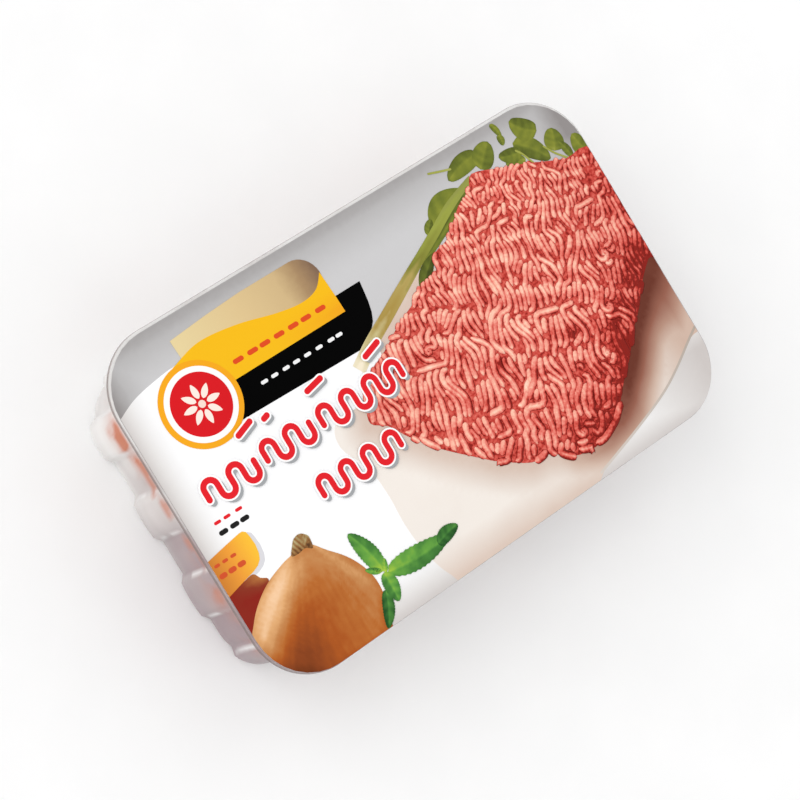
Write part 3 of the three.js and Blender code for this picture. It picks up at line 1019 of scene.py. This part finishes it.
def heap_strands():
    """The strands with their tones, cut off at the film's edge."""
    draw = np.random.default_rng(6)
    template, faces = tube_template(HEAP_STEPS, 8)
    lines = np.array([evened(line) for line in heap_lines()])
    bm = joined(strand_bodies(draw, template, lines), faces)
    layer = bm.verts.layers.float.new("tone")
    for vertex, tone in zip(bm.verts, strand_tones(draw, template, lines).ravel()):
        vertex[layer] = float(tone)
    clip_to_film(bm, 0.15, fill=True)
    return bm


def shrunk(points, inset):
    """A clockwise outline drawn in by an inset."""
    made = []
    for before, spot, after in zip(points[-1:] + points, points, points[1:] + points[:1]):
        inward = Vector((after[1] - before[1], before[0] - after[0])).normalized() * inset
        made.append((spot[0] + inward.x, spot[1] + inward.y))
    return made


def make_heap():
    stops = [(0.0, "#8c1f17"), (0.08, "#bb372e"), (0.2, "#d6574b"), (0.38, "#ea7c6e"), (0.55, "#f3a18e")]
    stops += [(0.74, "#fcbfa6"), (1.0, "#ffdac6")]
    reds = ink("meat reds on film", stops, 0.16, 900.0)
    base = inked(curve_through(shrunk(HEAP_EDGE, 0.9), 4), layer=0.15)
    ink_piece("heap_base", base, reds, lambda x, y, z: 0.15 + 0.4 * heap_light(x, y))
    finish_piece(heap_strands(), "heap_strands", reds, crease=3)


# The printed greens


def leaf_rows(base, tip, width, bend=0.0, blunt=0.75, steps=14, teeth=0.0, places=9):
    """Rows of points across a leaf, from its base to its tip, its middle line bent. A low blunt
    gives it round ends, and teeth a saw-toothed edge."""
    start, end = Vector(base), Vector(tip)
    along = end - start
    across = Vector((-along.y, along.x)).normalized()
    rows = []
    for k in range(steps + 1):
        t = k / steps
        middle = start + along * t + across * bend * math.sin(math.pi * t)
        swell = math.sin(math.pi * t**0.8) ** blunt if 0 < k < steps else 0.0
        half = width / 2 * swell * (1 + teeth * (k % 2))
        rows.append([tuple(middle + across * half * (2 * i / (places - 1) - 1)) for i in range(places)])
    return rows


def leaf_tone(light, glow):
    """A leaf's tones: a pale middle vein, one half lighter, faint side veins, and a glow at its base."""

    def tone(along, across):
        off = 2 * across - 1
        vein = 0.2 * clamp01(1 - abs(off) * 5)
        ribs = 0.05 * math.sin(along * 24 - abs(off) * 3)
        half = 0.08 if off > 0 else -0.08
        return light + half + vein + ribs - 0.12 * off * off + glow * (1 - along) ** 3

    return tone


# The leaves: base, tip, width, bend, light and, for the mint, the glow at the base
SPRIG = [
    ((28.4, 36.5), (46.4, 41.6), 10.5, 1.9, 0.36),
    ((25.4, 36.2), (29.4, 40.2), 3.0, 0.2, 0.3),
    ((57.2, 50.2), (42.6, 47.4), 6.6, -0.6, 0.34),
    ((54.8, 45.2), (62.6, 51.6), 7.6, 0.2, 0.36),
    ((66.6, 55.9), (68, 50.4), 2.3, 0.3, 0.42),
    ((67.4, 51.6), (66.8, 47.9), 2.6, 0.2, 0.4),
    ((80.6, 46.4), (73.2, 53.4), 7.6, 1.0, 0.4),
    ((71, 43.4), (62.8, 45.4), 5.2, 0.5, 0.3),
    ((71, 40.6), (63.6, 42.4), 3.6, -0.4, 0.38),
    ((70.2, 47), (79.6, 36.6), 7.4, 0.8, 0.32),
    ((82.4, 38), (86, 44.8), 7.4, -0.4, 0.4),
    ((87.4, 33.6), (85.8, 40), 3.2, -0.2, 0.34),
    ((93.8, 31), (91.6, 39.8), 6.4, 0.5, 0.42),
]
SPRIG_STEMS = [[(37.8, 52.5), (42, 51.2), (45.5, 50.2)], [(69.6, 44.4), (71, 42.5), (72, 40), (73, 37.6)]]
SPRIG_STEMS += [[(79.6, 41), (82, 37.4), (85.4, 34)]]
MINT = [
    ((-47.4, -42), (-52, -26.6), 6.0, -0.4, 0.36, 0.4),
    ((-46.4, -43), (-22, -44.2), 7.0, -0.7, 0.34, 0.35),
    ((-27, -44.6), (-17.9, -43), 4.6, 0.5, 0.16, 0.0),
    ((-47.8, -42.4), (-47.8, -52.2), 5.0, 0.3, 0.36, 0.3),
    ((-48.2, -41.6), (-53, -38.6), 2.0, 0.1, 0.4, 0.3),
    ((-50, -47), (-55.6, -57.2), 4.0, 0.7, 0.12, 0.1),
    ((-47.2, -42.6), (-45.4, -38.8), 2.0, 0.1, 0.6, 0.3),
]
STALK = [(-20, 12.8), (-12, 17.4), (-3, 21.6), (5, 25.4), (13, 29.2), (20, 32.4), (28, 36)]
STALK += [(38, 40.6), (50, 44.6)]
STALK_WIDTHS = [4.6, 4.4, 4.2, 4.0, 3.6, 3.2, 3.2, 3.0, 1.8]


OLIVE = [(0.0, "#42491a"), (0.3, "#6a742a"), (0.55, "#868c33"), (0.8, "#a2a54e"), (1.0, "#bcbc78")]
LEAF_LIFT = 0.012


def leaves(placed, layer, **form):
    """Leaves that lie over one another a little."""
    parts = []
    for k, (base, tip, width, bend, light, glow) in enumerate(placed):
        rows = leaf_rows(base, tip, width, bend, **form)
        parts.append(strip(rows, layer + LEAF_LIFT * (k % 4), leaf_tone(light, glow)))
    return parts


def make_sprig():
    parts = leaves([(*leaf, 0.1) for leaf in SPRIG], 0.06, blunt=0.5, steps=16)
    for stem in SPRIG_STEMS:
        parts.append(stroke(curve_through(stem, 4, False), 0.35, 0.11, lambda along, across: 0.8))
    ink_piece("leaf_sprig", together(parts), ink("olive green ink on film", OLIVE, 0.1, 240.0))


def make_mint():
    fresh = [(0.0, "#1f4f22"), (0.3, "#488339"), (0.5, "#68a543"), (0.75, "#96bf40"), (1.0, "#b4d052")]
    parts = leaves(MINT, 0.20, blunt=0.55, steps=26, teeth=0.1)
    ink_piece("mint_leaves", together(parts), ink("fresh green ink on film", fresh, 0.1, 240.0))


def stalk_tone(along, across):
    """The stalk's hues change along it, with faint streaks and its far side a little darker."""
    return along + 0.035 * math.sin(across * 9) + 0.1 * (0.4 - across) * clamp01(along * 4 - 1.6)


def stalk():
    """The stalk as a strip that narrows along its curve."""
    spine = curve_through(STALK, 5, False)
    widths = np.interp(np.linspace(0, len(STALK) - 1, len(spine)), range(len(STALK)), STALK_WIDTHS)
    rows = []
    for before, spot, after, width in zip(spine[:1] + spine, spine, spine[1:] + spine[-1:], widths):
        across = Vector((before[1] - after[1], after[0] - before[0])).normalized() * width / 2
        shares = [1 - i / 4 for i in range(9)]
        rows.append([(spot[0] + across.x * share, spot[1] + across.y * share) for share in shares])
    return strip(rows, 0.13, stalk_tone)


def make_spring_onion():
    """The stalk, with a shaded leaf beside it and a darker blade under it."""
    deep = ink("deep green ink on film", OLIVE, 0.08, 240.0)
    shaded = strip(leaf_rows((13, 23), (23.6, 31), 4.4, 0.3), 0.11, leaf_tone(0.12, 0.0))
    ink_piece("shaded_leaf", shaded, deep)
    hues = [(0.0, "#f6ead0"), (0.14, "#cfc38f"), (0.26, "#ab9048"), (0.44, "#b39f5b"), (0.56, "#818134")]
    hues += [(0.8, "#99a045"), (1.0, "#8f934a")]
    ink_piece("spring_onion_stalk", stalk(), ink("straw and green ink on film", hues, 0.03, 200.0))
    spine = curve_through([(19, 30), (28, 33.4), (38, 37.6)], 5, False)
    ink_piece("spring_onion_blade", stroke(spine, 1.0, 0.09, leaf_tone(0.3, 0.0)), deep)


# The printed onion

ONION_EDGE = [(-95, -37), (-92.5, -33.6), (-88, -29.4), (-82, -25.6), (-75, -23.2), (-71, -22.4)]
ONION_EDGE += [(-67, -20.6), (-63.6, -23.4), (-60.6, -27), (-56.2, -31.8), (-52.9, -37.2)]
ONION_EDGE += [(-51.2, -42.6), (-51.3, -48), (-53.2, -54), (-57, -59.5), (-80, -60), (-88, -53)]
ONION_EDGE += [(-92, -47.8), (-94.4, -42.6)]
ONION_NECK = (-66.5, -18.5)


def onion_tone(x, y, z):
    """The skin's light: a pale band down the left, a dark middle, and streaks that fan from the neck."""
    angle = math.degrees(math.atan2(y - ONION_NECK[1], x - ONION_NECK[0])) % 360
    reach = math.hypot(x - ONION_NECK[0], y - ONION_NECK[1])
    turns = [200, 208, 217, 228, 238, 250, 262, 275, 291, 300]
    around = np.interp(angle, turns, [0.8, 0.97, 0.97, 0.8, 0.62, 0.52, 0.46, 0.5, 0.58, 0.76])
    dark = 0.43 * clamp01((reach - 14) / 20) * math.exp(-(((angle - 240) / 16) ** 2))
    glow = 0.06 * clamp01(1 - reach / 14) + 0.22 * clamp01(1 - reach / 20) * smooth((angle - 228) / 20)
    fan = math.sin(angle * 1.1 + 2 * wander(x, y, 50, 0.3))
    fan += 0.7 * math.sin(angle * 2.3 + 3 * wander(x, y, 34, 1.7))
    inside = -edge_distance(ONION_EDGE, x, y)
    return around - dark + glow + 0.018 * fan * clamp01(reach / 14) - 0.2 * clamp01(1 - inside / 3.5)


def neck_tone(x, y, z):
    """The dry neck's slanting streaks, and its dark base."""
    return 0.55 + 0.22 * math.sin(x * 4.4 + y * 1.6) - 0.5 * clamp01((-21.2 - y) / 2.2)


def rust_tone(x, y, z):
    """The red onion: deep red at the left end, and browner and lighter where it meets the other."""
    return 0.1 + 0.75 * clamp01((x + 93) / 10) * clamp01((y + 27) / 4)


def make_onion():
    skin = [(0.0, "#6c3110"), (0.2, "#8b421a"), (0.4, "#ab551d"), (0.52, "#b96b2e"), (0.66, "#c68851")]
    skin += [(0.8, "#e0a972"), (0.9, "#eec092"), (1.0, "#f7d0aa")]
    onion = inked(curve_through(ONION_EDGE, 5), layer=0.16, step=1)
    material = ink("onion skin inks on film", skin, 0.03, 260.0)
    ink_piece("printed_onion", onion, material, onion_tone)
    neck = [(-71.4, -22.8), (-69.6, -20.4), (-68, -18.9), (-65.6, -18.5), (-63.5, -20.2), (-63.5, -22.4)]
    neck += [(-64.2, -24.2), (-66.4, -23), (-69, -23.3)]
    stub = inked(curve_through(neck, 6), layer=0.19, step=1)
    dry = [(0.0, "#5b3c22"), (0.35, "#94673a"), (0.7, "#a89264"), (1.0, "#c9b98c")]
    ink_piece("onion_neck", stub, ink("dry neck inks on film", dry, 0.16, 600.0), neck_tone)
    edge = [(-97, -22.6), (-88, -21.4), (-84.4, -21), (-83, -23), (-81.2, -25.2), (-88, -30), (-97, -38)]
    behind = inked(curve_through(edge, 5), layer=0.10, step=1)
    rust = [(0.0, "#8c1d14"), (0.4, "#8a3320"), (0.75, "#ae6a38"), (1.0, "#cf8a5c")]
    ink_piece("red_onion_behind", behind, ink("rust red inks on film", rust, 0.06, 200.0), rust_tone)


# The printed badge, ribbons, seal and wavy lines


def snake(left, right, y, radius, rise):
    """A line that winds up and down between two places, its turns half circles."""
    turns = max(2, round((right - left) / (2 * radius)))
    radius = (right - left) / (2 * turns)
    line = [(left, y - rise / 2)]
    for k in range(turns):
        middle = left + (2 * k + 1) * radius
        upward = 1 if k % 2 == 0 else -1
        for step in range(13):
            angle = math.pi * (1 - step / 12)
            reach = rise / 2 + radius * math.sin(angle)
            line.append((middle + radius * math.cos(angle), y + upward * reach))
    line.append((right, y - upward * rise / 2))
    return line


def bars(starts, length, y, half_width, layer):
    """Short rounded bars in a row, as plain marks."""
    return together([stroke([(x, y), (x + length, y)], half_width, layer) for x in starts])


def badge_tone(x, y, z):
    return clamp01((x + 95) / 15)


def make_badge():
    outline = [(-97, -11.2), (-81.6, -8.7), (-80.4, -8.7), (-79.5, -9.5), (-79.2, -11), (-79, -14)]
    outline += [(-79.4, -16.6), (-80.2, -18.4), (-81.6, -19.6), (-83.6, -20.4), (-97, -23.4)]
    shadow = inked(moved(outline, 1.3, -1.0), layer=0.07)
    ink_piece("badge_shadow", shadow, plain_ink("pale grey ink on film", "#d9d8dc"))
    orange = [(0.0, "#c97a30"), (0.5, "#ec9b37"), (1.0, "#f9bf38")]
    ink_piece("orange_badge", inked(outline, layer=0.13), ink("orange ink on film", orange), badge_tone)
    upper = bars([-93, -90, -87], length=1.0, y=-13.2, half_width=0.5, layer=0.16)
    lower = bars([-93, -89.6, -86.2], length=1.2, y=-16.6, half_width=0.8, layer=0.16)
    ink_piece("badge_marks", together([upper, lower]), plain_ink("brick red ink on film", "#d2522c"))


def gold_tone(x, y, z):
    """The ribbon's yellow, deeper to its low right end."""
    return 1 - 0.7 * clamp01((x + 40) / 26) * clamp01((38 - y) / 6)


def tan_tone(x, y, z):
    return clamp01((x + 68) / 54)


def make_ribbons():
    band = [(-63, 18.9), (-16, 17.6)] + round_corner(-15, 28.6, 9.6, 3, 5)[1:-1]
    band += [(-5, 29), (-3.8, 35.5), (-15, 35.5), (-15, 30.2), (-58, 30.2)]
    ink_piece("black_band", inked(band, layer=0.08), plain_ink("black ink on film", "#010101", shine=0.03))
    top = [(-72, 42.6), (-60.6, 45.2), (-47, 43.8), (-33.4, 40.4), (-24.3, 39.1), (-17.9, 40.3)]
    top += [(-13.6, 44.2)]
    banner = inked(curve_through(top, closed=False) + [(-13.6, 30), (-72, 30)], layer=0.12)
    yellow = [(0.0, "#ee981c"), (0.5, "#f3af18"), (1.0, "#f5bb16")]
    ink_piece("yellow_ribbon", banner, ink("yellow ink on film", yellow), gold_tone)
    tab = [(-68, 37), (-20.6, 37)] + round_corner(-20.6, 44.4, 7.2, 3)
    tab += round_corner(-20.6, 44.4, 7.2, 0)[1:] + [(-40, 51.6), (-54, 50.9), (-68, 49.8)]
    tan = [(0.0, "#e6d29e"), (0.45, "#ddc28f"), (0.75, "#d0b485"), (0.88, "#a98a65"), (1.0, "#7f6450")]
    ink_piece("tan_tab", inked(tab, layer=0.10), ink("tan ink on film", tan), tan_tone)
    starts = [-50, -46, -41.5, -37.4, -33, -28.4, -23.6, -20.4]
    specks = bars(starts, length=1.5, y=25, half_width=0.55, layer=0.12)
    ink_piece("band_marks", specks, plain_ink("white marks on film", "#f2f2f2"))
    starts = [-54, -48.4, -43.6, -38, -32.4, -27.4, -21.6]
    strokes = bars(starts, length=2.4, y=34.6, half_width=0.75, layer=0.16)
    ink_piece("ribbon_marks", strokes, plain_ink("red marks on film", "#df4c20"))


def make_seal():
    centre = (-70.5, 29.2)
    ink_piece("seal_rim", inked(disc(*centre, 13.4), layer=0.16), plain_ink("gold ink on film", "#f4a81c"))
    ring = inked(disc(*centre, 11.6), layer=0.20)
    ink_piece("seal_ring", ring, plain_ink("bright white ink on film", "#fbfaf9"))
    middle = inked(disc(*centre, 9.8), layer=0.24)
    ink_piece("seal_centre", middle, plain_ink("signal red ink on film", "#d8161f"))
    petals = [inked(disc(*centre, 1.2, steps=24), layer=0.28)]
    for k in range(8):
        way = (math.cos(k * math.pi / 4), math.sin(k * math.pi / 4))
        near, far = [(centre[0] + reach * way[0], centre[1] + reach * way[1]) for reach in (1.8, 6.6)]
        petals.append(strip(leaf_rows(near, far, 2.1), layer=0.28))
    ivory = ink("ivory ink on red", [(0.0, "#f6dccf"), (1.0, "#fbe9df")])
    ink_piece("seal_rosette", together(petals), ivory)


def make_wavy_lines():
    """Plain winding lines in red with a white outline and a grey shadow, and short bars."""
    spans = [(-84, -66, 5.6), (-62, -44, 6.2), (-40, -8, 6), (-52, -21, -11.6)]
    lines = [snake(left, right, y, 2.3, 3.0) for left, right, y in spans]
    lines += [[(-66, 15.6), (-60.5, 17.4)], [(-39, 15.8), (-33, 17)], [(-56, 15.8), (-54.6, 16.2)]]
    lines += [[(-16, 15.2), (-10, 17)]]
    shadows = [stroke(moved(line, 0.7, -1.3), 1.1, layer=0.44) for line in lines]
    ink_piece("line_shadows", together(shadows), plain_ink("shadow grey ink on film", "#a3a5a8"))
    outlines = [stroke(line, 1.5, layer=0.47) for line in lines]
    ink_piece("line_outlines", together(outlines), plain_ink("white outline on film", "#fefefe"))
    red = plain_ink("scarlet ink on film", "#e3202a")
    ink_piece("winding_lines", together([stroke(line, 0.95, layer=0.50) for line in lines]), red)
    upper = bars([-86, -82.6, -78.4], length=1.4, y=-2.6, half_width=0.5, layer=0.08)
    ink_piece("small_red_bars", upper, red)
    lower = bars([-86, -82, -78.4], length=1.6, y=-5.9, half_width=0.75, layer=0.08)
    ink_piece("small_black_bars", lower, plain_ink("soft black ink on film", "#1c1c1c"))


# Views and light

CAMERA_PLACE = (-434.8, 54.5, 818.0)
CAMERA_RIGHT = (0.736408, -0.515987, 0.437562)
CAMERA_UP = (0.480209, 0.854243, 0.199169)
CAMERA_LENS = 131.2


def add_camera():
    """The camera stands where the photograph was taken from, and is turned on its side as it was."""
    right, up = Vector(CAMERA_RIGHT), Vector(CAMERA_UP)
    turn = Matrix((right, up, right.cross(up))).transposed().to_4x4()
    data = bpy.data.cameras.new("camera")
    data.lens = CAMERA_LENS
    data.sensor_width = 36
    data.clip_start = 0.01
    camera = added("camera", data)
    camera.matrix_world = Matrix.Translation(Vector(CAMERA_PLACE) * MM) @ turn
    bpy.context.scene.camera = camera


def add_light(name, direction, softness, power):
    """Even light from a far softbox, its softness the angle in degrees that the box fills."""
    data = bpy.data.lights.new(name, "SUN")
    data.angle = math.radians(softness)
    data.energy = power
    lamp = added(name, data)
    lamp.rotation_euler = Vector(direction).to_track_quat("Z", "Y").to_euler()


def add_studio():
    world = bpy.data.worlds.new("studio")
    world.use_nodes = True
    backdrop = world.node_tree.nodes["Background"]
    backdrop.inputs["Color"].default_value = linear("#ffffff")
    backdrop.inputs["Strength"].default_value = 0.83
    bpy.context.scene.world = world
    bpy.context.scene.view_settings.view_transform = "Standard"
    add_light("softbox", (-0.9, 0.6, 0.62), 70, 1.2)
    add_light("fill", (0.3, -0.5, 0.8), 80, 0.08)


def add_floor():
    """A pale matt floor, slightly uneven so that it reads as a surface."""
    bm = bmesh.new()
    bmesh.ops.create_grid(bm, x_segments=8, y_segments=8, size=3)
    mesh = bpy.data.meshes.new("floor")
    bm.to_mesh(mesh)
    bm.free()
    made, tree, surface = new_material("matt white paper", Roughness=0.85)
    fibres = noise(tree, object_place(tree), 30.0, 4.0)
    colour = shades(tree, fibres, [(0.3, "#fafafa"), (0.7, "#fdfdfd")])
    tree.links.new(colour, surface.inputs["Base Color"])
    mesh.materials.append(made)
    added("floor", mesh)


add_camera()
add_studio()
add_floor()
make_tray()
make_mince()
make_film()
make_white_field()
make_plate()
make_heap()
make_sprig()
make_mint()
make_spring_onion()
make_onion()
make_badge()
make_ribbons()
make_seal()
make_wavy_lines()
